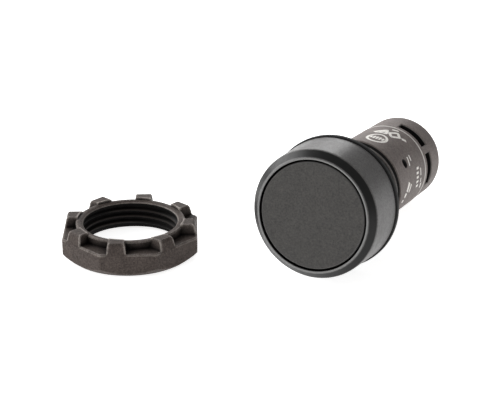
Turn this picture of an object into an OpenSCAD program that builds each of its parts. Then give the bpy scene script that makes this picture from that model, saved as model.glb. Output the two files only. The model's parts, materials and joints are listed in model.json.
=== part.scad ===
// Compact 22 mm flush push button, momentary, with one normally open contact.
// It lies on its side on a flat surface, and its mounting nut lies flat beside it.
//
// Button pieces are drawn along their own axis: w runs along +Z, from the panel seat at
// w = 0 towards the front, and the terminals face +X. placed() then lays them down.

/* [Front] */
// Diameter of the bezel where it meets the gasket
bezel_rear_d = 28.8; // [28.2:0.1:29.2]
// Diameter of the bezel where its side meets the front band
bezel_front_d = 28.1; // [27.6:0.1:28.6]
// Outer diameter of the narrow lip around the cap
lip_d = 24.9; // [24.8:0.1:25.6]
// Diameter of the opening that the cap travels in
bezel_bore_d = 24.2; // [24.2:0.1:24.6]
// Height of the bezel's lip above the panel seat
bezel_h = 13.2; // [13:0.1:14]
// Radius of the rounding between the bezel's side and its front band
band_soft = 0.9; // [0.5:0.1:1.2]
// Diameter of the button cap
cap_d = 23.2; // [23:0.1:23.6]
// How far the cap's face lies below the lip
cap_recess = 0.1; // [0.1:0.1:0.6]
// Travel of the button from rest to its end stop
push_travel = 4.5; // [3.5:0.1:4.5]

/* [Neck] */
// Thickness of the rubber gasket under the bezel
gasket_t = 1.35; // [1.2:0.05:1.6]
// Diameter of the gasket
gasket_d = 29.5; // [29.3:0.1:30]
// Diameter of the threaded neck, for a 22.3 mm panel hole
neck_d = 22; // [21.8:0.1:22.2]
// Length of the threaded neck behind the panel seat
neck_len = 12.6; // [12:0.1:14]
// Pitch of the thread
thread_pitch = 1.5; // [1.25:0.25:1.5]
// Depth of the thread
thread_depth = 0.75; // [0.5:0.05:0.85]

/* [Body] */
// Diameter of the body behind the neck
body_d = 20; // [19.8:0.1:20.2]
// Depth of the button behind the panel seat
rear_depth = 43.25; // [43:0.05:44]
// Length of the rear cover
cover_len = 10.95; // [10.5:0.05:11.5]
// Wall of the sleeve housing
wall = 1.2; // [1.1:0.05:1.3]
// Diameter of the small locating hole in the body
locating_d = 1.8; // [1:0.1:2]
// Distance of the locating hole behind the panel seat
locating_depth = 20.5; // [18:0.1:22]

/* [Terminals] */
// Angle of each wire window around the body
window_angle = 44; // [36:1:46]
// Angle of the rib between the two wire windows
rib_angle = 11; // [8:1:14]
// Length of a wire window along the body
window_len = 3.1; // [2.6:0.1:3.2]
// Distance from the front edge of the rear cover to the wire windows
window_inset = 1.8; // [1.7:0.1:2]
// Diameter of the terminal screws
screw_d = 3.4; // [3:0.1:3.4]
// Pitch of the terminal screws
screw_pitch = 0.6; // [0.5:0.1:0.6]
// Turns from a fully open to a fully closed terminal
screw_turns = 3; // [1:1:3]
// Gap between the open contacts
contact_gap = 2.7; // [2.5:0.1:2.8]

/* [Nut] */
// Width of the octagonal flange across its flats
nut_flats = 29.8; // [29:0.1:30.5]
// Height of the octagonal flange
nut_flange_h = 5.4; // [4:0.1:5.6]
// Height of the threaded ring at its inner edge
nut_ring_h = 7; // [6:0.1:7.2]
// Height of the gripping lugs and of the ring's outer edge
nut_lug_h = 7.7; // [7:0.1:7.8]
// Outer diameter of the threaded ring
nut_ring_d = 24.4; // [24:0.1:25]
// Diameter across the crests of the nut's thread
nut_bore_d = 21; // [20.8:0.1:21.2]
// Diameter across the roots of the nut's thread
nut_root_d = 22.3; // [22.1:0.1:22.5]
// Width of a lug at its top
lug_w = 3.3; // [2.5:0.1:4]
// Extra width of a lug at its foot
lug_flare = 1; // [0:0.1:1.4]
// Distance of a lug from the middle of its flat
lug_shift = 2.5; // [0:0.1:3.4]

/* [Lying pose] */
// Turn of the button about its own axis
terminal_turn = 30.5; // [0:0.5:90]
// Distance of the nut's centre to the left of the button's axis
nut_left = 43.9; // [36:0.1:60]
// Distance of the nut's centre in front of the panel seat
nut_front = 12.9; // [0:0.1:30]
// Turn of the nut on the surface it lies on
nut_turn = 4.5; // [0:0.5:44.5]

/* [Hidden] */
$fn = 96;

// Small lengths used in many places
running = 0.05;        // radial clearance of a sliding shaft
edge = 0.3;            // chamfer on moulded edges
over = 1;              // how far a cutting shape runs past what it cuts

// Heights along the button, from the panel seat
lip_w = bezel_h;
cap_w = bezel_h - cap_recess;
floor_w = 2.8;                              // top of the housing's front floor
skirt_w = floor_w + edge + push_travel;     // lower edge of the cap's skirt
neck_w = -neck_len;
cover_w = cover_len - rear_depth;           // joint between housing and rear cover
rear_w = -rear_depth;

// The gasket's rear edge and the cover's rear edge both touch the surface
lie_tilt = atan((gasket_d - body_d) / 2 / rear_depth);
floor_z = -gasket_d / 2 * cos(lie_tilt);

// Housing
flange_r = 13.2;
snap_rib = 0.3;                             // bead that holds the bezel on the flange
gasket_seat = 0.2;                          // depth of the gasket's seat in the neck
cavity_r = body_d / 2 - wall;
cavity_w = 0.8;                             // front end of the cavity
guide_w = -1;                               // rear end of the plunger's guide
guide_wall = 1.2;
bead_groove = [8.9, 9.9, 2];                // inner radius, outer radius, floor height

// Cap and plunger
cap_wall = 1.3;
cap_face = 1.6;
boss_r = 4.4;
spigot_r = 2.6;
spigot_len = 2.6;
plunger_r = 5;
shoulder_r = 7.2;
shoulder_t = 2.2;
plunger_foot_r = 4;
plunger_foot_w = -7.5;
boss_w = 8.6;                               // joint between cap boss and plunger
shoulder_w = guide_w - 0.1;                 // top of the plunger's stop shoulder
lip_groove_r = 4.4;
lip_groove_w = 7;
lip_groove_h = 1;

// Contact block, from front to rear
base_w = -12.5;
base_rear_w = -30;
chamber_w = -14;
carrier_top_w = chamber_w - 0.1;
carrier_head_t = 1.5;
carrier_stem_r = 3;
carrier_x = 3;
carrier_y = 2.6;
leg_t = 0.9;
contact_spring_len = 4;
strip_t = 0.8;                              // thickness of every contact strip
tip_t = 0.6;
tip_r = 1.1;
tip_y = 5.2;
bridge_top_w = carrier_top_w - carrier_head_t - contact_spring_len;
bridge_w = bridge_top_w - strip_t;          // rear face of the bridge
cross_t = 1.6;
carrier_rear_w = bridge_w - cross_t;
tip_gap_seat = 0.05;                        // air left between closed tips
fixed_tip_w = bridge_w - tip_t - contact_gap - tip_gap_seat;
fixed_strip_w = fixed_tip_w - tip_t;        // front face of the fixed strips
well_w = carrier_rear_w - push_travel - 0.5;
bridge_x = 1.9;
bridge_y = 6.7;
strip_x = 1.6;
strip_y = [3.8, 7];
chamber_y = 7.6;

// Terminals
terminal_x = 4.2;
terminal_y = 4;
screw_r = screw_d / 2;
head_r = 2.3;
head_t = 1.8;
plate_w = cover_w - window_inset + 0.1;     // rear face of the terminal plates
plate_x = [-strip_x, 7];
plate_y = [1.4, 7];
plate_r = 8.1;
thread_collar_r = 2.6;
thread_collar_h = 2;
clamp_w = cover_w - window_inset - window_len - 0.1;   // front face of the open clamps
clamp_t = 1;
clamp_x = [1.7, 6.7];
clamp_y = [1.4, 6.6];
clamp_r = 7.9;
screw_tip_w = plate_w + strip_t + 1;
clamp_travel = screw_turns * screw_pitch;

// Rear cover
cover_cavity_r = 8.3;
end_wall = 1.4;
spigot_ring = [8, cavity_r - running];
spigot_ring_h = 2.2;
driver_r = 2.75;                            // screwdriver holes in the end wall
partition_t = 1.4;
support_x = 1.4;                            // edge of the block behind the plates

// Colours
black_plastic = [0.2, 0.19, 0.19];
cap_grey = [0.3, 0.29, 0.28];
bezel_grey = [0.3, 0.3, 0.31];
body_brown = [0.28, 0.26, 0.25];
rubber_black = [0.06, 0.06, 0.06];
white_plastic = [0.85, 0.84, 0.8];
red_plastic = [0.6, 0.15, 0.12];
steel = [0.7, 0.7, 0.72];
copper = [0.75, 0.48, 0.3];
silver = [0.85, 0.85, 0.86];

// ------------------------------------------------------------------ helpers

// Lays a piece drawn along the button's axis down on the surface
module placed() {
    rotate([90 - lie_tilt, 0, 0]) rotate([0, 0, terminal_turn]) children();
}

// A straight ring between two heights
module ring(r_in, r_out, low, high) {
    rotate_extrude() translate([r_in, low]) square([r_out - r_in, high - low]);
}

// A straight solid shaft between two heights
module shaft(r, low, high) {
    translate([0, 0, low]) cylinder(r = r, h = high - low);
}

// A box given by its lowest and highest corners
module block(low, high) {
    translate(low) cube(high - low);
}

// Mirrors the second terminal: side = 1 is the left one, side = -1 the right one
module on_side(side) {
    if (side > 0) children();
    else mirror([0, 1, 0]) children();
}

thread_run = 0.28 * thread_pitch;           // length of a thread's sloping flank

// One tooth of a thread as ring-shaped steps, from height low, from root to crest
function tooth(root, crest, low) = [
    [root, low + 0.12 * thread_pitch],
    [crest, low + 0.4 * thread_pitch],
    [crest, low + 0.6 * thread_pitch],
    [root, low + 0.88 * thread_pitch]
];

// As many teeth as fit between two heights
function teeth(root, crest, low, high) = [
    for (i = [0 : floor((high - low) / thread_pitch) - 1])
        each tooth(root, crest, low + i * thread_pitch)
];

// Points of an arc around a centre
function arc(centre, r, from, to, steps = 8) = [
    for (i = [0 : steps])
        let (a = from + (to - from) * i / steps)
            centre + r * [cos(a), sin(a)]
];

// A round wire wound around the axis, its lowest and highest points at the two heights
module coil(coil_r, wire_r, low, high, turns, steps, sides = 8) {
    count = turns * steps;
    function height(i) = low + wire_r + (high - low - 2 * wire_r) * i / count;
    points = [
        for (i = [0 : count])
            for (k = [0 : sides - 1])
                let (
                    turn = 360 * i / steps,
                    side = 360 * k / sides,
                    r = coil_r + wire_r * cos(side)
                )
                [r * cos(turn), r * sin(turn), height(i) + wire_r * sin(side)]
    ];
    skin = [
        for (i = [0 : count - 1])
            for (k = [0 : sides - 1])
                let (next = (k + 1) % sides)
                [i * sides + k, (i + 1) * sides + k, (i + 1) * sides + next, i * sides + next]
    ];
    ends = [
        [for (k = [0 : sides - 1]) k],
        [for (k = [0 : sides - 1]) count * sides + sides - 1 - k]
    ];
    polyhedron(points, concat(skin, ends), convexity = 10);
}

// --------------------------------------------------------------- front pieces

// Flat cap with a soft edge, a skirt, and a boss that snaps on the plunger
module button_cap() {
    r = cap_d / 2;
    soft = 0.5;
    color(cap_grey) placed() difference() {
        union() {
            rotate_extrude() polygon(concat(
                [[0, cap_w - cap_face], [r - cap_wall, cap_w - cap_face],
                 [r - cap_wall, skirt_w], [r, skirt_w]],
                arc([r - soft, cap_w - soft], soft, 0, 90),
                [[0, cap_w]]
            ));
            shaft(boss_r, boss_w, cap_w - cap_face + 0.1);
        }
        shaft(spigot_r, boss_w - over, boss_w + spigot_len);
    }
}

// Shroud around the cap, snapped over the housing's flange
module bezel_ring() {
    soft = 0.15;
    bore_r = bezel_bore_d / 2;
    side_r = bezel_front_d / 2;
    // The front band leans at 45 degrees from the lip to where its rounding starts
    band_r = side_r - band_soft * (1 - cos(45));
    band_w = lip_w - (band_r - lip_d / 2);
    color(bezel_grey) placed() rotate_extrude() polygon(concat(
        [[bore_r, floor_w], [bore_r, lip_w - soft], [bore_r + soft, lip_w], [lip_d / 2, lip_w]],
        arc([side_r - band_soft, band_w - band_soft * sin(45)], band_soft, 45, 0),
        [[bezel_rear_d / 2, gasket_t + edge], [bezel_rear_d / 2, gasket_t],
         [flange_r, gasket_t], [flange_r, gasket_t + snap_rib],
         [flange_r + snap_rib, gasket_t + 2 * snap_rib],
         [flange_r, gasket_t + 3 * snap_rib], [flange_r, floor_w]]
    ));
}

// Rubber ring that seals the bezel against the panel
module panel_gasket() {
    seat_r = neck_d / 2 - gasket_seat;
    bevel = gasket_seat + 0.05;    // lets a panel reach the neck behind the seat
    color(rubber_black) placed() rotate_extrude() polygon([
        [seat_r + bevel, 0], [gasket_d / 2, 0], [gasket_d / 2, gasket_t], [seat_r, gasket_t],
        [seat_r, bevel]
    ]);
}

// ------------------------------------------------------------ housing pieces

// One moulding: flange, threaded neck, and the tube that holds the contact block
module sleeve_housing() {
    neck_r = neck_d / 2;
    body_r = body_d / 2;
    land = 0.6;            // plain stretch at the rear end of the neck
    relief = 1;            // plain stretch behind the gasket
    color(body_brown) placed() difference() {
        rotate_extrude() polygon(concat(
            [[0, cover_w], [body_r, cover_w], [body_r, neck_w],
             [neck_r, neck_w], [neck_r, neck_w + land],
             [neck_r - thread_depth, neck_w + land + thread_run]],
            teeth(neck_r - thread_depth, neck_r, neck_w + land + thread_run, -relief),
            [[neck_r - thread_depth, -relief - thread_run], [neck_r, -relief], [neck_r, 0],
             [neck_r - gasket_seat, 0], [neck_r - gasket_seat, gasket_t]],
            [[flange_r, gasket_t], [flange_r, gasket_t + snap_rib],
             [flange_r + snap_rib, gasket_t + 2 * snap_rib],
             [flange_r, gasket_t + 3 * snap_rib], [flange_r, floor_w], [0, floor_w]]
        ));
        rotate_extrude() polygon([
            [0, cover_w - over], [cavity_r, cover_w - over], [cavity_r, cavity_w],
            [plunger_r + guide_wall, cavity_w], [plunger_r + guide_wall, guide_w], [0, guide_w]
        ]);
        shaft(plunger_r + running, guide_w - over, floor_w + over);
        ring(bead_groove[0], bead_groove[1], bead_groove[2], floor_w + over);
        locating_hole();
    }
}

// Small round hole through the housing and part way into the contact block
module locating_hole() {
    depth = 1.5;
    translate([cavity_r - depth, 0, -locating_depth]) rotate([0, 90, 0])
        cylinder(d = locating_d, h = wall + depth + over);
}

// Closes the rear: two wire windows, two screwdriver holes, a wall between the terminals
module rear_cover() {
    body_r = body_d / 2;
    color(body_brown) placed() difference() {
        union() {
            difference() {
                rotate_extrude() polygon([
                    [0, rear_w], [body_r - edge, rear_w], [body_r, rear_w + edge],
                    [body_r, cover_w], [0, cover_w]
                ]);
                shaft(cover_cavity_r, rear_w + end_wall, cover_w + over);
            }
            ring(spigot_ring[0], spigot_ring[1], cover_w - over, cover_w + spigot_ring_h);
            intersection() {
                shaft(cover_cavity_r + running, rear_w, cover_w);
                union() {
                    block([-body_d, -body_d, rear_w], [support_x, body_d, plate_w]);
                    block([0, -partition_t / 2, rear_w], [body_d, partition_t / 2, plate_w + strip_t]);
                }
            }
        }
        for (side = [1, -1]) on_side(side) {
            wire_window();
            translate([terminal_x, terminal_y, 0])
                shaft(driver_r, rear_w - over, rear_w + end_wall + over);
        }
    }
}

// The cut of one wire window through the cover's wall, beside the rib
module wire_window() {
    far = 2 * body_d;
    first = rib_angle / 2;
    last = first + window_angle;
    translate([0, 0, cover_w - window_inset - window_len])
        linear_extrude(height = window_len) difference() {
            polygon([[0, 0], far * [cos(first), sin(first)], far * [cos(last), sin(last)]]);
            circle(r = cover_cavity_r - 0.2);
        }
}

// ------------------------------------------------------------- moving pieces

// Stem that carries the cap, with a stop shoulder behind the guide
module plunger() {
    color(white_plastic) placed() difference() {
        union() {
            shaft(plunger_foot_r, plunger_foot_w, shoulder_w - shoulder_t + 0.1);
            shaft(shoulder_r, shoulder_w - shoulder_t, shoulder_w);
            shaft(plunger_r, shoulder_w - 0.1, boss_w);
            shaft(spigot_r, boss_w - 0.1, boss_w + spigot_len);
        }
        ring(lip_groove_r, plunger_r + over, lip_groove_w, lip_groove_w + lip_groove_h);
    }
}

// Rubber diaphragm from the housing's floor to the plunger, folded once
module diaphragm_seal() {
    skin = 0.5;
    inner = lip_groove_r + running;
    lip = lip_groove_w + running;
    lip_top = lip_groove_w + lip_groove_h - running;
    fold = 7.6;                                  // radius of the fold's lowest line
    color(rubber_black) placed() rotate_extrude() polygon([
        [bead_groove[0], bead_groove[2]],
        [bead_groove[1], bead_groove[2]],
        [bead_groove[1], floor_w + skin],
        [bead_groove[1] - skin, floor_w + skin],
        [fold, floor_w + 2 * skin],
        [inner + 2 * skin, lip_top],
        [inner, lip_top],
        [inner, lip],
        [plunger_r + 0.1, lip],
        [fold - skin, floor_w + skin],
        [bead_groove[0], floor_w + 0.1]
    ]);
}

// Spring that returns the plunger, seated on the contact block
module return_spring() {
    gap = running;
    color(steel) placed()
        coil(6.3, 0.35, base_w + gap, shoulder_w - shoulder_t - gap, 5, 30);
}

// Frame that the plunger pushes, with a window for the contact bridge
module contact_carrier() {
    head_w = carrier_top_w - carrier_head_t;
    leg_y = 2;
    cross_y = 1.4;
    pip_r = 0.8;
    color(red_plastic) placed() union() {
        shaft(carrier_stem_r, carrier_top_w - 0.1, plunger_foot_w);
        block([-carrier_x, -carrier_y, head_w], [carrier_x, carrier_y, carrier_top_w]);
        for (s = [-1, 1]) block(
            [s > 0 ? carrier_x - leg_t : -carrier_x, -leg_y, carrier_rear_w],
            [s > 0 ? carrier_x : leg_t - carrier_x, leg_y, head_w + 0.1]
        );
        block([-carrier_x, -cross_y, carrier_rear_w], [carrier_x, cross_y, bridge_w]);
        shaft(pip_r, head_w - pip_r, head_w + 0.1);
    }
}

// Spring that presses the bridge on the fixed contacts
module contact_spring() {
    gap = 0.03;
    color(steel) placed()
        coil(1.3, 0.2, bridge_top_w + gap, carrier_top_w - carrier_head_t - gap, 4, 20, 6);
}

// Strip that joins the two fixed contacts when the button is pressed
module contact_bridge() {
    color(copper) placed()
        block([-bridge_x, -bridge_y, bridge_w], [bridge_x, bridge_y, bridge_top_w]);
}

// Silver tips under the bridge
module bridge_tips() {
    color(silver) placed() for (s = [-1, 1])
        translate([0, s * tip_y, 0]) shaft(tip_r, bridge_w - tip_t, bridge_w);
}

// ------------------------------------------------------------ fixed contacts

// One fixed contact: a ledge under its tip, a leg to the rear, and a threaded plate
module fixed_contact(side) {
    leg = [strip_y[1] - strip_t, strip_y[1]];
    color(copper) placed() on_side(side) difference() {
        union() {
            block([-strip_x, strip_y[0], fixed_strip_w - strip_t],
                  [strip_x, strip_y[1], fixed_strip_w]);
            block([-strip_x, leg[0], plate_w], [strip_x, leg[1], fixed_strip_w]);
            intersection() {
                shaft(plate_r, plate_w, plate_w + strip_t);
                block([plate_x[0], plate_y[0], plate_w],
                      [plate_x[1], plate_y[1], plate_w + strip_t]);
            }
            translate([terminal_x, terminal_y, 0]) intersection() {
                shaft(thread_collar_r, plate_w, plate_w + strip_t + thread_collar_h);
                translate([-terminal_x, -terminal_y, 0])
                    shaft(spigot_ring[0] - 0.1, plate_w, base_rear_w);
            }
        }
        translate([terminal_x, terminal_y, 0])
            shaft(screw_r + running, plate_w - over, base_rear_w);
    }
}

module fixed_contact_left() fixed_contact(1);

module fixed_contact_right() fixed_contact(-1);

// Silver tips on the fixed contacts
module fixed_tips() {
    color(silver) placed() for (s = [-1, 1])
        translate([0, s * tip_y, 0]) shaft(tip_r, fixed_strip_w, fixed_tip_w);
}

// Insulating block: spring seat, carrier guide, contact chamber and slots for the strips
module contact_base() {
    well_y = 3.3;
    rim = [4.8, 5.6];
    rim_h = 0.8;
    side_gap = 0.2;
    color(white_plastic) placed() difference() {
        union() {
            shaft(cavity_r - running, base_rear_w, base_w);
            ring(rim[0], rim[1], base_w - 0.1, base_w + rim_h);
        }
        shaft(carrier_stem_r + running, chamber_w - over, base_w + rim_h + over);
        intersection() {
            shaft(cavity_r - 1, base_rear_w, chamber_w);
            block([-bridge_x - 0.7, -chamber_y, fixed_strip_w - strip_t],
                  [bridge_x + 0.7, chamber_y, chamber_w]);
        }
        block([-carrier_x - side_gap, -well_y, well_w],
              [carrier_x + side_gap, well_y, chamber_w]);
        for (side = [1, -1]) on_side(side)
            block([-strip_x, strip_y[1] - strip_t, base_rear_w - over],
                  [strip_x, strip_y[1], fixed_strip_w]);
        locating_hole();
    }
}

// ----------------------------------------------------------------- terminals

// Plate under a screw's head that clamps the wire against the terminal plate
module clamp_plate(side) {
    groove = 0.3;
    color(steel) placed() on_side(side) difference() {
        intersection() {
            shaft(clamp_r, clamp_w - clamp_t, clamp_w);
            block([clamp_x[0], clamp_y[0], clamp_w - clamp_t],
                  [clamp_x[1], clamp_y[1], clamp_w]);
        }
        translate([terminal_x, terminal_y, 0])
            shaft(screw_r + running, clamp_w - 2 * clamp_t, clamp_w + over);
        for (i = [-2, 2]) translate([terminal_x + i, 0, clamp_w])
            rotate([-90, 0, 0]) cylinder(r = groove, h = 2 * terminal_y);
    }
}

module clamp_plate_left() clamp_plate(1);

module clamp_plate_right() clamp_plate(-1);

// Terminal screw with a cross and slot recess in its head
module terminal_screw(side) {
    under_head = clamp_w - clamp_t - running;
    head_w = under_head - head_t;
    recess = 1;
    slot_w = 0.8;
    color(steel) placed() on_side(side) translate([terminal_x, terminal_y, 0]) difference() {
        union() {
            shaft(screw_r, under_head - 0.1, screw_tip_w);
            rotate_extrude() polygon([
                [0, head_w], [head_r - edge, head_w], [head_r, head_w + edge],
                [head_r, under_head], [0, under_head]
            ]);
        }
        block([-head_r - over, -slot_w / 2, head_w - over],
              [head_r + over, slot_w / 2, head_w + recess]);
        block([-slot_w / 2, -head_r / 2, head_w - over], [slot_w / 2, head_r / 2, head_w + recess]);
    }
}

module terminal_screw_left() terminal_screw(1);

module terminal_screw_right() terminal_screw(-1);

// ---------------------------------------------------------------------- nut

// Castellated nut for the neck, lying on its flat face with the lugs up
module mounting_nut() {
    corner_r = nut_flats / 2 / cos(22.5);
    ring_r = nut_ring_d / 2;
    crest_r = nut_bore_d / 2;
    root_r = nut_root_d / 2;
    land = 0.5;                // plain stretch at each end of the thread
    bevel = [2.1, 1.7];        // how far the foot's cone cuts the corners, in and up
    mouth = [1.7, 0.8];        // lead-in to the thread from the foot, out and up
    rim_h = nut_ring_h + 0.3;  // outer edge of the ring, below the lugs' tops
    lugs = 8;
    color(body_brown) translate([-nut_left, -nut_front, floor_z]) rotate([0, 0, nut_turn])
    difference() {
        union() {
            intersection() {
                cylinder(r = corner_r, h = nut_flange_h, $fn = 8);
                cylinder(r1 = corner_r - bevel[0],
                         r2 = corner_r - bevel[0] + nut_flange_h * bevel[0] / bevel[1],
                         h = nut_flange_h);
            }
            rotate_extrude() polygon([
                [crest_r - over, 0], [ring_r, 0], [ring_r, rim_h - edge / 2],
                [ring_r - edge / 2, rim_h], [crest_r, nut_ring_h],
                [crest_r - over, nut_ring_h]
            ]);
            for (i = [0 : lugs - 1]) rotate([0, 0, 360 / lugs * (i + 0.5)]) nut_lug();
        }
        rotate_extrude() polygon(concat(
            [[0, -over], [root_r + mouth[0], -over], [root_r + mouth[0], 0],
             [root_r, mouth[1]], [root_r, land + thread_run]],
            teeth(root_r, crest_r, land + thread_run, nut_ring_h - land - thread_run),
            [[root_r, nut_ring_h - land - thread_run], [crest_r, nut_ring_h - land],
             [crest_r, nut_ring_h + over], [0, nut_ring_h + over]]
        ));
    }
}

// One lug: narrower at its top, its outer face leaning in from the flange's flat
module nut_lug() {
    foot = (lug_w + lug_flare) / 2;
    top = lug_w / 2;
    inner_r = nut_ring_d / 2 - edge;
    face = nut_flats / 2 - running;
    lean = 1;
    low = nut_flange_h - over;
    kink = nut_flange_h - edge;     // where the sides start to lean, inside the flange
    difference() {
        translate([0, -lug_shift, 0]) intersection() {
            rotate([90, 0, 90]) linear_extrude(height = face + over) polygon([
                [-foot, low], [foot, low], [foot, kink], [top, nut_lug_h - edge],
                [top - edge, nut_lug_h], [edge - top, nut_lug_h], [-top, nut_lug_h - edge],
                [-foot, kink]
            ]);
            translate([0, foot + over, 0]) rotate([90, 0, 0])
                linear_extrude(height = 2 * (foot + over)) polygon([
                    [inner_r - 2 * over, low], [face, low], [face, kink],
                    [face - lean / 2, nut_lug_h - 2 * edge], [face - lean, nut_lug_h],
                    [inner_r - 2 * over, nut_lug_h]
                ]);
        }
        translate([0, 0, -over]) cylinder(r = inner_r, h = nut_lug_h + 2 * over);
    }
}

button_cap();
bezel_ring();
panel_gasket();
sleeve_housing();
plunger();
diaphragm_seal();
return_spring();
contact_carrier();
contact_spring();
contact_bridge();
bridge_tips();
fixed_contact_left();
fixed_contact_right();
fixed_tips();
contact_base();
clamp_plate_left();
clamp_plate_right();
terminal_screw_left();
terminal_screw_right();
rear_cover();
mounting_nut();
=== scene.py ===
"""Looks for a compact flush push button that lies beside its mounting nut.

Shapes are made in millimetres: button pieces along the button's own axis, w from the panel
seat towards the front, and the nut around its own axis, z up from its flat face.
"""
import json
import math

import bmesh
import bpy
from mathutils import Matrix, Vector


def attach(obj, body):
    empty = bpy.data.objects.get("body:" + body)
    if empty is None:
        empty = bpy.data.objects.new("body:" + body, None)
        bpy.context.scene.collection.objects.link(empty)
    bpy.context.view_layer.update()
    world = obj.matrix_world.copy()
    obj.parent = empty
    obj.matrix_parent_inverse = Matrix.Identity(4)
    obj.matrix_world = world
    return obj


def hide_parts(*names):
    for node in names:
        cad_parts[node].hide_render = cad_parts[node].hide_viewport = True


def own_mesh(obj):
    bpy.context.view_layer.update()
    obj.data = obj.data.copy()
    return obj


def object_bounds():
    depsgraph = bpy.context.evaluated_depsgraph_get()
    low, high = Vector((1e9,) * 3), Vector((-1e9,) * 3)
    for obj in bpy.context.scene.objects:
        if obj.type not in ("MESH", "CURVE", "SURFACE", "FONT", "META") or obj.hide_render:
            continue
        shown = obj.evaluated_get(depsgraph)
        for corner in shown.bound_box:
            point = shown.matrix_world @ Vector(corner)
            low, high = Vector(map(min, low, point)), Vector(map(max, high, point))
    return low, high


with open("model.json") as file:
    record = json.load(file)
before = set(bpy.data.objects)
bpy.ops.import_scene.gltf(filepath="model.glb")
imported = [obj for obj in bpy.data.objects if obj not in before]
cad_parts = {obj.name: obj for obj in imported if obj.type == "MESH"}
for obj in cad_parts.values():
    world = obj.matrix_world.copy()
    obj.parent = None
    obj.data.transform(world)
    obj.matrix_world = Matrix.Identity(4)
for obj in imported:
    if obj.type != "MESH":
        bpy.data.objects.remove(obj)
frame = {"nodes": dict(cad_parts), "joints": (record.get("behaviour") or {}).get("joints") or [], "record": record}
cad_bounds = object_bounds()

nodes = frame["nodes"]
mounts = {m["name"]: m for m in frame["record"]["mounts"]}
joints = {j["name"]: j for j in frame["joints"]}

# ---------------------------------------------------------------- the shared frame
MM = 0.001
REAR = Vector(joints["push"]["axis"])
ENTRY = [Vector(mounts["wire_entry_" + s]["axis"]) for s in ("left", "right")]


def placement():
    """Millimetres along the button's axis to the row frame in metres."""
    front = -REAR.normalized()
    side = (ENTRY[0] + ENTRY[1]).normalized()
    up = front.cross(side).normalized()
    side = up.cross(front)
    turn = Matrix((side, up, front)).transposed().to_4x4()
    return turn @ Matrix.Scale(MM, 4)


PLACED = placement()
NUT_TURN = 4.5
nut_centre = Vector(mounts["nut_clamp_face"]["pos_m"])
nut_centre.x = mounts["nut_thread"]["pos_m"][0]
NUT = (Matrix.Translation(nut_centre)
       @ Matrix.Rotation(math.radians(NUT_TURN), 4, "Z") @ Matrix.Scale(MM, 4))


# ---------------------------------------------------------------- sizes in millimetres
# as in the CAD model, but the cap's radius is 0.1 mm more and the locating hole's mouth wider
PITCH = 1.5

# front: bezel, cap, gasket, and the flange that the bezel snaps over
LIP_W, LIP_R, BORE_R = 13.2, 12.45, 12.1
CAP_W, CAP_R = 13.1, 11.7
GASKET_T, GASKET_R, GASKET_BORE_R = 1.35, 14.75, 10.8
FLANGE_W, FLANGE_R = 2.8, 13.2
SNAP = [(FLANGE_R, 1.65), (FLANGE_R + 0.3, 1.95), (FLANGE_R, 2.25)]

# sleeve and rear cover
GUIDE_R = 5.05
SEAL_IN, SEAL_OUT, SEAL_W = 8.9, 9.9, 2.0
NECK_R, NECK_W, THREAD_ROOT = 11.0, -12.6, 10.25
BODY_R, CAVITY_R = 10.0, 8.8
HOLE_R, HOLE_MOUTH_R, HOLE_W = 0.9, 1.2, -20.5
JOINT_W, REAR_W = -32.3, -43.25
WINDOW = (-37.2, -34.1)
RIB, OPENING = 11.0, 44.0
PLATE_W, REAR_INSIDE_W = -34.0, -41.85
TERMINAL, TERMINAL_TURN, DRIVER_R = (4.2, 4.0), 30.5, 2.75

# springs: radius of the coil and of the wire, low end, high end, turns
RETURN_SPRING = (6.3, 0.35, -12.45, -3.35, 5)
CONTACT_SPRING = (1.3, 0.2, -19.57, -15.63, 4)

# nut: the flange, the ring above it and the thread
FLATS, CORNER_R, LUGS, LUG_SHIFT = 29.8, 0.8, 8, 2.5
NUT_ROOT, NUT_CREST, NUT_THREAD = 11.15, 10.5, (1.0, 6.3)
RING_R, RING_H = 12.2, 7.27


# ---------------------------------------------------------------- shapes
def soften(points, steps=4):
    """The closed outline (r, w) or (r, w, radius), with each stated corner rounded."""
    most = 0.48  # share of a side that one corner takes, so that two fit on it
    out = []
    count = len(points)
    for i, p in enumerate(points):
        here = Vector(p[:2])
        if len(p) == 2:
            out.append(here)
            continue
        back = Vector(points[i - 1][:2]) - here
        ahead = Vector(points[(i + 1) % count][:2]) - here
        u, v = back.normalized(), ahead.normalized()
        half = math.acos(max(-1.0, min(1.0, u.dot(v)))) / 2
        reach = min(p[2] / math.tan(half), most * back.length, most * ahead.length)
        radius = reach * math.tan(half)
        middle = here + (u + v).normalized() * radius / math.sin(half)
        first, last = ((here + d * reach - middle).normalized() for d in (u, v))
        out += [middle + radius * first.slerp(last, k / steps).normalized()
                for k in range(steps + 1)]
    return out


def lathe(points, segments=160, steps=4):
    """A closed outline turned about the w axis."""
    outline = soften(points, steps)
    bm = bmesh.new()
    rings = []
    for k in range(segments):
        a = 2 * math.pi * k / segments
        rings.append([bm.verts.new((r * math.cos(a), r * math.sin(a), w)) for r, w in outline])
    for k in range(segments):
        one, two = rings[k], rings[(k + 1) % segments]
        for i in range(len(outline)):
            j = (i + 1) % len(outline)
            bm.faces.new((one[i], two[i], two[j], one[j]))
    bmesh.ops.remove_doubles(bm, verts=bm.verts, dist=1e-5)
    bmesh.ops.recalc_face_normals(bm, faces=bm.faces)
    return bm


def loft(bm, rings):
    """Joins rings of points, in order, into one solid with closed ends."""
    for one, two in zip(rings, rings[1:]):
        for k in range(len(one)):
            j = (k + 1) % len(one)
            bm.faces.new((one[k], one[j], two[j], two[k]))
    bm.faces.new(rings[0])
    bm.faces.new(rings[-1])
    bmesh.ops.recalc_face_normals(bm, faces=bm.faces)
    return bm


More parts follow.
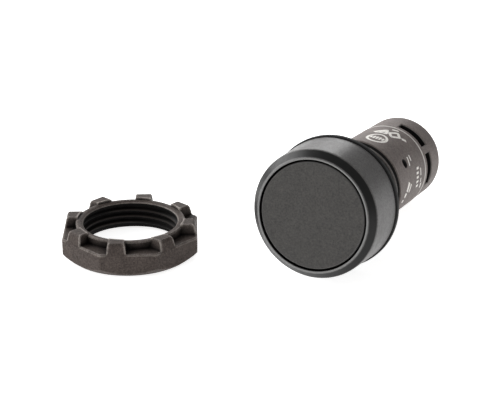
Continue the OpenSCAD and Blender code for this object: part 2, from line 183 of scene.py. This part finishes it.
def tube(path, radius, sides=12):
    """A round wire along a path around the w axis."""
    bm = bmesh.new()
    rings = []
    for i, p in enumerate(path):
        along = (path[min(i + 1, len(path) - 1)] - path[max(i - 1, 0)]).normalized()
        out = Vector((p.x, p.y, 0)).normalized()
        out = (out - along * out.dot(along)).normalized()
        other = along.cross(out)
        rings.append([
            bm.verts.new(p + radius * (out * math.cos(a) + other * math.sin(a)))
            for a in (2 * math.pi * k / sides for k in range(sides))
        ])
    return loft(bm, rings)


def coil(coil_r, wire_r, low, high, turns, steps=48):
    """A spring whose end turns lie flat, as a cold-wound one's do."""
    flatten = 0.06
    count = int(turns * steps)
    path = []
    for i in range(count + 1):
        t = i / count
        a = 2 * math.pi * turns * t
        level = t - flatten * math.sin(2 * math.pi * t)
        w = low + wire_r + (high - low - 2 * wire_r) * level
        path.append(Vector((coil_r * math.cos(a), coil_r * math.sin(a), w)))
    return tube(path, wire_r)


def ridge(root, crest, low, high, steps=96):
    """The helical ridge of a right-hand thread, sunk a little into its root, with tapered ends."""
    sink = root + (root - crest) / abs(root - crest) * 0.12
    foot = 0.42
    section = [(0.0, -foot), (0.16, -0.38), (0.86, -0.15), (1.0, -0.09),
               (1.0, 0.09), (0.86, 0.15), (0.16, 0.38), (0.0, foot)]
    turns = (high - low) / PITCH - 2 * foot
    count = int(turns * steps)
    fade = steps // 3
    bm = bmesh.new()
    rings = []
    for i in range(count + 1):
        a = 2 * math.pi * i / steps
        w = low + foot * PITCH + PITCH * i / steps
        size = max(0.02, min(1.0, i / fade, (count - i) / fade))
        ring = []
        for share, rise in section:
            r = sink + (crest - sink) * share * size
            ring.append(bm.verts.new((r * math.cos(a), r * math.sin(a), w + rise * PITCH)))
        rings.append(ring)
    return loft(bm, rings)


def prism(outline, low, high):
    """A straight solid on a flat outline (x, y)."""
    bm = bmesh.new()
    return loft(bm, [[bm.verts.new((x, y, w)) for x, y in outline] for w in (low, high)])


def box(low, high):
    """A block between its lowest and highest corners."""
    return prism([(low[0], low[1]), (high[0], low[1]), (high[0], high[1]), (low[0], high[1])],
                 low[2], high[2])


def moved(bm, at):
    """The shape moved across the axis to (x, y)."""
    bm.transform(Matrix.Translation((at[0], at[1], 0)))
    return bm


def shaft(radius, low, high, segments=160):
    """A plain cylinder on the axis."""
    return lathe([(0, low), (radius, low), (radius, high), (0, high)], segments)


def solid(bm):
    """A working object in millimetres."""
    mesh = bpy.data.meshes.new("solid")
    bm.to_mesh(mesh)
    bm.free()
    obj = bpy.data.objects.new("solid", mesh)
    bpy.context.scene.collection.objects.link(obj)
    return obj


def taken(obj):
    """A working object's shape; the object itself goes."""
    bm = bmesh.new()
    bm.from_mesh(obj.data)
    bpy.data.objects.remove(obj)
    return bm


def combine(base, bm, how):
    """Adds, cuts or keeps the common part of a second solid."""
    tool = solid(bm)
    mod = base.modifiers.new("combine", "BOOLEAN")
    mod.operation = how
    mod.solver = "EXACT"
    mod.object = tool
    graph = bpy.context.evaluated_depsgraph_get()
    mesh = bpy.data.meshes.new_from_object(base.evaluated_get(graph))
    base.modifiers.remove(mod)
    base.data = mesh
    bpy.data.objects.remove(tool)
    return base


def piece(obj, name, matrix, body, material, replaces=(), weighted=True):
    """Puts a working object in place as a finished piece of the model."""
    obj.name = name
    obj.data.name = name
    obj.data.transform(matrix)
    obj.data.materials.append(material)
    for p in obj.data.polygons:
        p.use_smooth = True
    obj.data.set_sharp_from_angle(angle=math.radians(32))
    if weighted:
        mod = obj.modifiers.new("normals", "WEIGHTED_NORMAL")
        mod.keep_sharp = True
    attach(obj, body)
    if replaces:
        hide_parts(*replaces)
    return obj


# ---------------------------------------------------------------- materials
class Nodes:
    """Short calls for building a material's nodes."""

    def __init__(self, name):
        self.material = bpy.data.materials.new(name)
        self.material.use_nodes = True
        self.tree = self.material.node_tree
        self.shader = self.tree.nodes["Principled BSDF"]
        self.place = self.tree.nodes.new("ShaderNodeTexCoord").outputs["Object"]

    def link(self, a, b):
        self.tree.links.new(a, b)

    def noise(self, scale, detail=2.0, rough=0.5, place=None):
        n = self.tree.nodes.new("ShaderNodeTexNoise")
        n.inputs["Scale"].default_value = scale
        n.inputs["Detail"].default_value = detail
        n.inputs["Roughness"].default_value = rough
        self.link(place or self.place, n.inputs["Vector"])
        return n.outputs["Fac"]

    def remap(self, value, low, high, to_low, to_high):
        """The value taken from low..high to to_low..to_high, and held at both ends."""
        n = self.tree.nodes.new("ShaderNodeMapRange")
        for key, v in (("From Min", low), ("From Max", high),
                       ("To Min", to_low), ("To Max", to_high)):
            n.inputs[key].default_value = v
        self.link(value, n.inputs["Value"])
        return n.outputs["Result"]

    def ramp(self, value, stops):
        n = self.tree.nodes.new("ShaderNodeValToRGB")
        n.color_ramp.elements[0].position = stops[0][0]
        n.color_ramp.elements[0].color = (*stops[0][1], 1)
        n.color_ramp.elements[1].position = stops[-1][0]
        n.color_ramp.elements[1].color = (*stops[-1][1], 1)
        for position, colour in stops[1:-1]:
            n.color_ramp.elements.new(position).color = (*colour, 1)
        self.link(value, n.inputs["Fac"])
        return n.outputs["Color"]

    def mix(self, share, a, b):
        """From a to b by a share, which is a number or a node's output."""
        n = self.tree.nodes.new("ShaderNodeMix")
        n.data_type = "RGBA"
        if isinstance(share, float):
            n.inputs["Factor"].default_value = share
        else:
            self.link(share, n.inputs["Factor"])
        for key, v in (("A", a), ("B", b)):
            socket = next(s for s in n.inputs if s.name == key and s.type == "RGBA")
            if isinstance(v, tuple):
                socket.default_value = (*v, 1)
            else:
                self.link(v, socket)
        return next(s for s in n.outputs if s.type == "RGBA")

    def vector(self, how, a, b=None):
        n = self.tree.nodes.new("ShaderNodeVectorMath")
        n.operation = how
        self.link(a, n.inputs[0])
        if b is not None:
            n.inputs[1].default_value = b
        return n.outputs["Value" if how in ("LENGTH", "DOT_PRODUCT") else "Vector"]

    def product(self, a, b):
        n = self.tree.nodes.new("ShaderNodeMath")
        n.operation = "MULTIPLY"
        self.link(a, n.inputs[0])
        self.link(b, n.inputs[1])
        return n.outputs["Value"]

    def around(self, centre, axis):
        """Distance from an axis, and height along it, in millimetres."""
        off = self.vector("SUBTRACT", self.place, centre)
        per_mm = tuple(axis / MM)
        radius = self.vector("LENGTH", self.vector("CROSS_PRODUCT", off, per_mm))
        return radius, self.vector("DOT_PRODUCT", off, per_mm)

    def within(self, value, low, high, soft=0.06):
        """1 between two values, falling to 0 outside them."""
        return self.product(self.remap(value, low - soft, low + soft, 0, 1),
                            self.remap(value, high - soft, high + soft, 1, 0))

    def hollow(self, reach, inside=False):
        """1 on open surfaces, falling to 0 in hollows, or at sharp edges when seen from inside."""
        n = self.tree.nodes.new("ShaderNodeAmbientOcclusion")
        n.samples = 8
        n.inside = inside
        n.only_local = True
        n.inputs["Distance"].default_value = reach * MM
        return n.outputs["AO"]

    def bump(self, height, strength, distance, before=None):
        n = self.tree.nodes.new("ShaderNodeBump")
        n.inputs["Strength"].default_value = strength
        n.inputs["Distance"].default_value = distance
        self.link(height, n.inputs["Height"])
        if before:
            self.link(before, n.inputs["Normal"])
        return n.outputs["Normal"]


def shade(colour, share):
    """A lighter or darker colour."""
    return tuple(c * share for c in colour)


def plastic(name, colour, rough, spread=0.12, grain=3800, grain_depth=1.5e-5, specular=0.5,
            speckle=None, scuff=0.0, scuff_colour=None, axis=None, zones=(), hollow_shade=None, edge_wear_and_highlight=None):
    """Moulded plastic: fine moulded grain, cloudy tone, and rougher and smoother patches.

    zones are (least r, most r, least w, most w, colour) about the axis (centre, direction), for painted shade and
    painted highlights.
    Of the two (reach, colour) pairs, the first paints shade in hollows, and the second lightens outer edges,
    partly as wear and partly as a painted highlight.
    """
    m = Nodes(name)
    cloud = m.noise(260, 5, 0.62)
    speck = m.noise(2600, 3, 0.6)
    tone = m.ramp(cloud, [(0.3, shade(colour, 1 - spread)), (0.7, shade(colour, 1 + spread))])
    speckle = speckle or 1.5 * spread
    fine = m.ramp(speck, [(0.32, shade(colour, 1 - speckle)), (0.68, shade(colour, 1 + speckle))])
    base = m.mix(0.5, tone, fine)
    if scuff:
        worn = m.remap(m.noise(700, 8, 0.7), 0.62 - 0.1 * scuff, 0.74, 0, 1)
        base = m.mix(worn, base, scuff_colour)
    # painted shade: darker in hollows, found by ambient occlusion
    if hollow_shade:
        base = m.mix(m.remap(m.hollow(hollow_shade[0]), 0.45, 0.95, 1, 0), base, hollow_shade[1])
    # outer edges lighter: partly rubbed wear, partly painted highlight
    if edge_wear_and_highlight:
        patchy = m.remap(m.noise(1100, 4, 0.6), 0.3, 0.6, 0.35, 1)
        edge = m.remap(m.hollow(edge_wear_and_highlight[0], inside=True), 0.55, 0.85, 1, 0)
        base = m.mix(m.product(edge, patchy), base, edge_wear_and_highlight[1])
    if axis:
        radius, height = m.around(*axis)
        for low_r, high_r, low_w, high_w, zone_colour in zones:
            mask = m.product(m.within(radius, low_r, high_r), m.within(height, low_w, high_w))
            base = m.mix(mask, base, zone_colour)
    m.link(base, m.shader.inputs["Base Color"])
    m.link(m.remap(m.noise(900, 4, 0.6), 0.3, 0.7, rough - 0.06, rough + 0.06),
           m.shader.inputs["Roughness"])
    m.shader.inputs["Specular IOR Level"].default_value = specular
    broad = m.bump(m.noise(420, 2, 0.5), 0.25, 4e-5)
    m.link(m.bump(m.noise(grain, 3, 0.65), 0.6, grain_depth, broad), m.shader.inputs["Normal"])
    return m.material


def rubber(name, colour, rough):
    """Dull rubber with a film of dust."""
    m = Nodes(name)
    dust = m.noise(1500, 6, 0.7)
    m.link(m.ramp(dust, [(0.35, shade(colour, 0.75)), (0.75, shade(colour, 1.7))]),
           m.shader.inputs["Base Color"])
    m.link(m.remap(dust, 0.3, 0.7, rough - 0.08, rough + 0.06), m.shader.inputs["Roughness"])
    m.shader.inputs["Specular IOR Level"].default_value = 0.35
    m.link(m.bump(m.noise(3000, 4, 0.6), 0.5, 1.5e-5), m.shader.inputs["Normal"])
    return m.material


def metal(name, colour, rough, tarnish, streak=(1, 1, 1)):
    """Metal strip, wire or plating with fine drawn streaks and a little tarnish."""
    m = Nodes(name)
    stretch = m.tree.nodes.new("ShaderNodeMapping")
    stretch.inputs["Scale"].default_value = streak
    m.link(m.place, stretch.inputs["Vector"])
    lines = m.noise(2400, 5, 0.65, stretch.outputs["Vector"])
    patch = m.noise(500, 5, 0.6)
    m.link(m.ramp(patch, [(0.3, shade(colour, 0.85)), (0.6, colour), (0.85, tarnish)]),
           m.shader.inputs["Base Color"])
    m.shader.inputs["Metallic"].default_value = 1.0
    m.link(m.remap(lines, 0.3, 0.7, rough - 0.08, rough + 0.1), m.shader.inputs["Roughness"])
    m.link(m.bump(lines, 0.35, 8e-6), m.shader.inputs["Normal"])
    return m.material


BUTTON_AXIS = (Vector((0, 0, 0)), -REAR.normalized())
NUT_AXIS = (nut_centre, Vector((0, 0, 1)))
# near black: the rubber's own colour, and painted shade in gaps, windows and holes
BLACK = (0.003, 0.003, 0.003)
# painted shade for the nut's hollows and its threaded bore
NUT_SHADE = (0.003, 0.0025, 0.0022)

CAP = plastic(
    "cap_matte", (0.0285, 0.0262, 0.0235), 0.55, spread=0.2, speckle=0.95, grain=2400,
    grain_depth=9e-5, specular=0.48, axis=BUTTON_AXIS,
    zones=[
        # painted shade on the side in the gap, and a painted highlight on the rim
        (CAP_R - 0.05, 12.5, 0, CAP_W - 0.3, BLACK),
        (CAP_R - 0.3, CAP_R + 0.02, CAP_W - 0.25, CAP_W + 1, (0.06, 0.058, 0.056)),
    ])
BEZEL = plastic(
    "bezel_satin", (0.09, 0.087, 0.0855), 0.36, spread=0.2, speckle=0.6, grain=3000,
    grain_depth=1.5e-5, specular=0.2, axis=BUTTON_AXIS,
    zones=[
        # painted shade on the chamfered band, a painted highlight on the lip, painted shade in the bore, and the
        # rim at the gasket
        (11.5, 14.2, 11.75, 13.0, (0.008, 0.008, 0.0079)),
        (BORE_R + 0.03, LIP_R + 0.02, 13.1, 14, (0.2, 0.2, 0.197)),
        (11.5, BORE_R + 0.02, 0, 13.1, (0.002, 0.002, 0.002)),
        (14.3, 15, GASKET_T - 0.3, GASKET_T + 0.3, (0.09, 0.09, 0.09)),
    ])
HOUSING = plastic(
    "housing_matte", (0.15, 0.127, 0.118), 0.58, spread=0.25, speckle=0.5, grain=2600,
    grain_depth=7e-5, specular=0.16, axis=BUTTON_AXIS,
    zones=[
        # painted shade in the grooves of the thread, and painted highlights on its crests
        (8.9, 10.75, -12.2, -0.2, (0.006, 0.0055, 0.005)),
        (10.88, 11.2, -11.8, -1.2, (0.14, 0.13, 0.125)),
        # painted shade inside the windows and the locating hole
        (0, 9.75, -43, -30, BLACK),
        (0, 9.88, -24, -17, BLACK),
        # painted highlights on the ledge around the windows and on the joint line
        (9.8, 9.93, -37.6, -33.7, (0.2, 0.19, 0.18)),
        (9.5, 10.2, JOINT_W - 0.3, JOINT_W + 0.04, (0.65, 0.63, 0.6)),
    ])
NUT_PLASTIC = plastic(
    "nut_matte", (0.062, 0.0495, 0.044), 0.58, spread=0.35, speckle=0.8, grain=2200,
    grain_depth=9e-5, specular=0.1, scuff=0.6, scuff_colour=(0.085, 0.068, 0.06),
    # painted shade in the nut's hollows, and lighter edges, partly wear and partly painted highlight
    axis=NUT_AXIS, hollow_shade=(3.0, NUT_SHADE), edge_wear_and_highlight=(0.75, (0.42, 0.38, 0.35)),
    zones=[
        # painted shade over the threaded bore, less deep on the thread's crests
        (10, 11.4, 0.5, 6.8, NUT_SHADE),
        (10, 10.6, 0.6, 6.3, (0.022, 0.018, 0.016)),
    ])
NATURAL = plastic("natural_plastic", (0.62, 0.58, 0.5), 0.45, spread=0.05)
RED = plastic("red_plastic", (0.36, 0.035, 0.025), 0.4, spread=0.08)
PRINT = plastic("marking_grey", (0.78, 0.75, 0.71), 0.6, spread=0.15, specular=0.3)
RUBBER = rubber("rubber_black", BLACK, 0.7)
STEEL_WIRE = metal("spring_wire", (0.52, 0.52, 0.53), 0.3, (0.4, 0.38, 0.36))
PLATED = metal("zinc_plate", (0.62, 0.63, 0.65), 0.32, (0.5, 0.5, 0.5), streak=(1, 6, 1))
COPPER = metal("contact_strip", (0.72, 0.42, 0.22), 0.32, (0.45, 0.25, 0.14), streak=(1, 8, 1))
SILVER = metal("silver_tip", (0.82, 0.81, 0.78), 0.25, (0.55, 0.52, 0.46))

# ---------------------------------------------------------------- camera
AZIMUTH, ELEVATION = math.radians(25.01), math.radians(22.52)
EYE = (0.10207, -0.26248, 0.11669)

scene = bpy.context.scene
scene.view_settings.view_transform = "Standard"
camera = bpy.data.objects.new("camera", bpy.data.cameras.new("camera"))
scene.collection.objects.link(camera)
scene.camera = camera
camera.data.sensor_width = 36
camera.data.lens = 100.8
camera.data.clip_start, camera.data.clip_end = 0.01, 20
camera.location = EYE
back = Vector((math.sin(AZIMUTH) * math.cos(ELEVATION),
               -math.cos(AZIMUTH) * math.cos(ELEVATION), math.sin(ELEVATION)))
camera.rotation_mode = "QUATERNION"
camera.rotation_quaternion = back.to_track_quat("Z", "Y")

# ---------------------------------------------------------------- front pieces
cap = solid(lathe([
    (0, CAP_W), (CAP_R, CAP_W, 0.4), (CAP_R, 7.6, 0.15), (10.3, 7.6, 0.15),
    (10.3, 11.5, 0.3), (4.4, 11.5, 0.3), (4.4, 8.6, 0.1), (2.6, 8.6), (2.6, 11.4), (0, 11.4),
], steps=5))
piece(cap, "cap_moulding", PLACED, "button", CAP, ["button_cap"])

bezel = solid(lathe([
    (BORE_R, FLANGE_W), (BORE_R, LIP_W, 0.1), (LIP_R, LIP_W, 0.12), (14.05, 11.6, 0.6),
    (14.4, GASKET_T, 0.25), (FLANGE_R, GASKET_T), *SNAP, (FLANGE_R, FLANGE_W),
], steps=7))
piece(bezel, "bezel_moulding", PLACED, "housing", BEZEL, ["bezel_ring"])

gasket = solid(lathe([
    (GASKET_BORE_R, 0, 0.1), (GASKET_R, 0, 0.3), (GASKET_R, GASKET_T, 0.3),
    (GASKET_BORE_R, GASKET_T, 0.1),
], steps=5))
piece(gasket, "gasket_ring", PLACED, "housing", RUBBER, ["panel_gasket"])


# ---------------------------------------------------------------- sleeve housing
def locating_hole():
    """The cutter for the small hole in the body's side."""
    bm = lathe([(0, 6.5), (HOLE_R, 6.5), (HOLE_R, 9.55), (HOLE_MOUTH_R, 9.95), (HOLE_MOUTH_R, 11),
                (0, 11)], 40)
    bm.transform(Matrix.Translation((0, 0, HOLE_W)) @ Matrix.Rotation(math.radians(90), 4, "Y"))
    return bm


sleeve = solid(lathe([
    (GUIDE_R, FLANGE_W), (SEAL_IN, FLANGE_W), (SEAL_IN, SEAL_W), (SEAL_OUT, SEAL_W),
    (SEAL_OUT, FLANGE_W), (FLANGE_R, FLANGE_W), *reversed(SNAP), (FLANGE_R, GASKET_T),
    (GASKET_BORE_R, GASKET_T), (GASKET_BORE_R, 0), (NECK_R, 0, 0.06), (NECK_R, -1.0, 0.08),
    (THREAD_ROOT, -1.42, 0.08), (THREAD_ROOT, -11.58, 0.08), (NECK_R, -12.0, 0.08),
    (NECK_R, NECK_W, 0.12), (BODY_R, NECK_W, 0.15), (BODY_R, JOINT_W, 0.14),
    (CAVITY_R, JOINT_W), (CAVITY_R, 0.8, 0.4), (6.2, 0.8, 0.3), (6.2, -1.0, 0.15),
    (GUIDE_R, -1.0, 0.1),
]))
sleeve = combine(sleeve, ridge(THREAD_ROOT, NECK_R, -11.7, -1.3), "UNION")
sleeve = combine(sleeve, locating_hole(), "DIFFERENCE")
piece(sleeve, "sleeve_moulding", PLACED, "housing", HOUSING, ["sleeve_housing"])


# ---------------------------------------------------------------- rear cover
def sector(first, last, inner, outer, low, high, steps=24):
    """A wall-shaped solid between two angles and two radii."""
    angles = [math.radians(first + (last - first) * k / steps) for k in range(steps + 1)]
    outline = ([(outer * math.cos(a), outer * math.sin(a)) for a in angles]
               + [(inner * math.cos(a), inner * math.sin(a)) for a in reversed(angles)])
    return prism(outline, low, high)


def core(top, low, high):
    """The common part of the cover's bore and a block."""
    return taken(combine(solid(shaft(8.4, -42.5, top)), box(low, high), "INTERSECT"))


def rear_cover():
    """The shell behind the joint line, with its windows, terminal block and driver holes."""
    edge_r = BODY_R + 0.05
    cover = solid(lathe([
        (edge_r, JOINT_W, 0.12), (edge_r, JOINT_W - 0.5, 0.2), (BODY_R, JOINT_W - 0.7, 0.2),
        (BODY_R, REAR_W, 0.4), (0, REAR_W), (0, REAR_INSIDE_W),
        (8.3, REAR_INSIDE_W, 0.3), (8.3, -33.3), (8.0, -33.3), (8.0, -30.1, 0.1),
        (8.75, -30.1, 0.2), (8.75, JOINT_W),
    ]))
    block = core(JOINT_W + 0.5, (-12, -12, -43), (1.4, 12, PLATE_W))
    wall = core(JOINT_W, (0.5, -0.7, -43), (12, 0.7, PLATE_W + 0.8))
    cover = combine(cover, block, "UNION")
    cover = combine(cover, wall, "UNION")
    rim = [(0, -44), (DRIVER_R + 0.2, -44), (DRIVER_R + 0.2, -43.2), (DRIVER_R, -43.0), (0, -43.0)]
    for side in (1, -1):
        first, last = sorted((side * RIB / 2, side * (RIB / 2 + OPENING)))
        window = sector(first, last, 8.1, 11, *WINDOW)
        flare = sector(first - 0.7, last + 0.7, 9.87, 11, WINDOW[0] - 0.12, WINDOW[1] + 0.12)
        at = (TERMINAL[0], side * TERMINAL[1])
        for cutter in (window, flare, moved(shaft(DRIVER_R, -44, -41, 48), at),
                       moved(lathe(rim, 48), at)):
            cover = combine(cover, cutter, "DIFFERENCE")
    return cover


piece(rear_cover(), "cover_moulding", PLACED, "housing", HOUSING, ["rear_cover"])


# ---------------------------------------------------------------- printed symbols
def stroke(bm, points, width):
    """A printed line on the body through (angle around it, distance behind the seat)."""
    longest = 0.3
    under, over = BODY_R - 0.03, BODY_R + 0.02
    fine = []
    for (a0, s0), (a1, s1) in zip(points, points[1:]):
        length = math.hypot(math.radians(a1 - a0) * BODY_R, s1 - s0)
        steps = max(1, math.ceil(length / longest))
        fine += [(a0 + (a1 - a0) * k / steps, s0 + (s1 - s0) * k / steps) for k in range(steps)]
    fine.append(points[-1])
    flat = [Vector((math.radians(a - TERMINAL_TURN) * BODY_R, -s)) for a, s in fine]
    rings = []
    for i, here in enumerate(flat):
        along = (flat[min(i + 1, len(flat) - 1)] - flat[max(i - 1, 0)]).normalized()
        side = Vector((-along.y, along.x)) * width / 2
        ring = []
        for at, r in ((here + side, under), (here + side, over),
                      (here - side, over), (here - side, under)):
            angle = at.x / BODY_R
            ring.append(bm.verts.new((r * math.cos(angle), r * math.sin(angle), at.y)))
        rings.append(ring)
    loft(bm, rings)


def oval(angle, back, half_angle, half_back, sides=28):
    """The points of a closed oval line."""
    return [(angle + half_angle * math.cos(2 * math.pi * k / sides),
             back + half_back * math.sin(2 * math.pi * k / sides)) for k in range(sides + 1)]


# each line's width and its points
SYMBOLS = [
    # oval with five short strokes
    (0.65, oval(82, 21.0, 12.5, 3.1)), (0.5, [(90, 20.2), (90, 21.8)]), (0.5, [(86, 20), (86, 22)]),
    (0.5, [(82, 20), (82, 22)]), (0.5, [(78, 20), (78, 22)]), (0.5, [(74, 20.2), (74, 21.8)]),
    # triangle with a bar, diamond, and two short bars
    (0.75, [(97, 26.0), (84, 29.0), (80, 26.0), (95, 25.7)]), (0.9, [(91, 26.6), (84, 27.6)]),
    (0.75, [(78, 27.4), (71, 25.4), (63, 27.6), (70, 29.6), (78, 27.4)]),
    (0.9, [(60, 27.8), (54, 28.6)]), (0.7, [(80, 30.4), (72, 31.1)]),
    # pair of lines behind the locating hole
    (0.5, [(36, 23.2), (24, 22.6)]), (0.5, [(37, 24.6), (29, 24.4)]),
    # row of squares over a broken line
    (0.55, [(15, 26.4), (15, 27.8)]), (0.55, [(9, 26), (9, 27.4)]), (0.55, [(3, 26), (3, 27.4)]),
    (0.55, [(-3, 26), (-3, 27.4)]), (0.55, [(-9, 26.2), (-9, 27.6)]), (0.5, [(13, 29), (3, 29)]),
    (0.5, [(-1, 29.2), (-7, 29.2)]), (0.7, [(-9, 29.8), (-16, 29.8)]),
    # bars low on the side
    (1.1, [(4, 20.8), (-7, 19.6)]), (1.1, [(-9, 19.4), (-14, 18.8)]),
    (0.7, [(0, 22.2), (-10, 21.2)]), (1.0, [(-17, 18.4), (-21, 18.2)]),
]
marks = bmesh.new()
for width, points in SYMBOLS:
    stroke(marks, points, width)
piece(solid(marks), "body_symbols", PLACED, "housing", PRINT, weighted=False)

# ---------------------------------------------------------------- soft and sprung pieces
diaphragm = solid(lathe([
    (SEAL_IN, SEAL_W), (SEAL_OUT, SEAL_W), (SEAL_OUT, 3.3, 0.2), (9.4, 3.3, 0.2), (7.6, 3.8, 0.4),
    (5.45, 7.95, 0.15), (4.45, 7.95), (4.45, 7.05), (5.1, 7.05, 0.1), (7.1, 3.3, 0.4),
    (SEAL_IN, 2.9),
], segments=96))
piece(diaphragm, "diaphragm_skin", PLACED, "housing", RUBBER, ["diaphragm_seal"])
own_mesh(diaphragm)

spring = solid(coil(*RETURN_SPRING))
piece(spring, "return_coil", PLACED, "housing", STEEL_WIRE, ["return_spring"])
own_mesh(spring)

small = solid(coil(*CONTACT_SPRING, steps=36))
piece(small, "contact_coil", PLACED, "button", STEEL_WIRE, ["contact_spring"])
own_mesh(small)


# ---------------------------------------------------------------- mounting nut
def nut_flange():
    """The octagonal flange, with rounded corners and a softened upper edge."""
    reach = FLATS / 2 / math.cos(math.radians(22.5))
    outline = soften([(reach * math.cos(math.radians(45 * k)),
                       reach * math.sin(math.radians(45 * k)), CORNER_R) for k in range(8)])
    levels = [(0.0, 1.0), (5.1, 1.0), (5.27, 0.9955), (5.4, 0.984)]
    bm = bmesh.new()
    return loft(bm, [[bm.verts.new((x * s, y * s, z)) for x, y in outline] for z, s in levels])


def lug():
    """One bevelled lug in the frame of its flat: x outwards, y along the flat."""
    bm = bmesh.new()
    levels = [(4.6, 9.9, 14.85, 2.15), (5.3, 9.9, 14.85, 2.15), (7.2, 9.9, 14.4, 1.9),
              (7.7, 9.9, 14.0, 1.72)]
    loft(bm, [[bm.verts.new(p) for p in ((x0, -y, z), (x1, -y, z), (x1, y, z), (x0, y, z))]
              for z, x0, x1, y in levels])
    sharp = [e for e in bm.edges if max(v.co.z for v in e.verts) > 5.5]
    bmesh.ops.bevel(bm, geom=sharp, offset=0.14, segments=2, profile=0.5, affect="EDGES")
    bm.transform(Matrix.Translation((0, -LUG_SHIFT, 0)))
    return bm


def nut_lugs():
    """The lugs around the nut, cut off at the ring."""
    bm = bmesh.new()
    for k in range(LUGS):
        one = lug()
        one.transform(Matrix.Rotation(2 * math.pi * (k + 0.5) / LUGS, 4, "Z"))
        mesh = bpy.data.meshes.new("lug")
        one.to_mesh(mesh)
        one.free()
        bm.from_mesh(mesh)
        bpy.data.meshes.remove(mesh)
    return taken(combine(solid(bm), shaft(11.9, 4, 8), "DIFFERENCE"))


foot = [(0, 0), (14.03, 0, 0.3), (16.25, 1.8, 1.5), (16.4, 6), (0, 6)]
ring = [(9.5, 0.5), (RING_R, 0.5), (RING_R, RING_H, 0.35), (11.3, 7.2, 0.5), (NUT_CREST, 6.9),
        (9.5, 6.9)]
bore = [(0, -1), (12.85, -1), (12.85, 0.0, 0.1), (NUT_ROOT, 0.8), (NUT_ROOT, 6.08),
        (NUT_CREST, 6.5), (NUT_CREST, 6.7, 0.2), (10.95, 7.25), (10.95, 8), (0, 8)]
nut = solid(nut_flange())
nut = combine(nut, lathe(foot, 192), "INTERSECT")
nut = combine(nut, lathe(ring), "UNION")
nut = combine(nut, nut_lugs(), "UNION")
nut = combine(nut, lathe(bore), "DIFFERENCE")
nut = combine(nut, ridge(NUT_ROOT, NUT_CREST, *NUT_THREAD), "UNION")
piece(nut, "nut_moulding", NUT, "nut", NUT_PLASTIC, ["mounting_nut"])

# ---------------------------------------------------------------- carried-over CAD pieces
FINISH = {
    "plunger": NATURAL, "contact_carrier": RED, "contact_base": NATURAL,
    "contact_bridge": COPPER, "fixed_contact_left": COPPER, "fixed_contact_right": COPPER,
    "bridge_tips": SILVER, "fixed_tips": SILVER,
    "clamp_plate_left": PLATED, "clamp_plate_right": PLATED,
    "terminal_screw_left": PLATED, "terminal_screw_right": PLATED,
}
for name, material in FINISH.items():
    obj = nodes[name]
    obj.data.materials.clear()
    obj.data.materials.append(material)

# ---------------------------------------------------------------- floor and light
FLOOR_GAP = 2e-5
FLOOR_GLOW, WORLD_LIGHT = 0.82, 0.38
WHITE = (1, 1, 1, 1)

bpy.ops.mesh.primitive_plane_add(size=6, location=(0, 0, cad_bounds[0].z - FLOOR_GAP))
floor = bpy.context.object
floor.name = "floor"
paper = Nodes("paper_white")
cloudy = paper.ramp(paper.noise(40, 3, 0.5), [(0.3, (0.86, 0.86, 0.86)), (0.7, (0.88, 0.88, 0.88))])
paper.link(cloudy, paper.shader.inputs["Base Color"])
paper.shader.inputs["Roughness"].default_value = 0.9
paper.shader.inputs["Emission Color"].default_value = WHITE
paper.shader.inputs["Emission Strength"].default_value = FLOOR_GLOW
floor.data.materials.append(paper.material)

world = bpy.data.worlds.new("studio")
scene.world = world
world.use_nodes = True
world.node_tree.nodes["Background"].inputs["Color"].default_value = WHITE
world.node_tree.nodes["Background"].inputs["Strength"].default_value = WORLD_LIGHT


def lamp(name, place, target, size, power):
    """A soft rectangular light that points at its target."""
    data = bpy.data.lights.new(name, "AREA")
    data.shape = "RECTANGLE"
    data.size, data.size_y = size
    data.energy = power
    obj = bpy.data.objects.new(name, data)
    scene.collection.objects.link(obj)
    obj.location = place
    obj.rotation_mode = "QUATERNION"
    obj.rotation_quaternion = (Vector(place) - Vector(target)).to_track_quat("Z", "Y")


lamp("key", (-0.7, 0.12, 0.45), (-0.02, 0, 0), (0.45, 0.6), 6.5)
lamp("front", (-0.6, -0.5, 0.4), (-0.02, 0, 0), (0.45, 0.6), 2.2)
lamp("back", (-0.35, 0.8, 0.38), (0, 0, 0), (0.5, 0.3), 2.3)
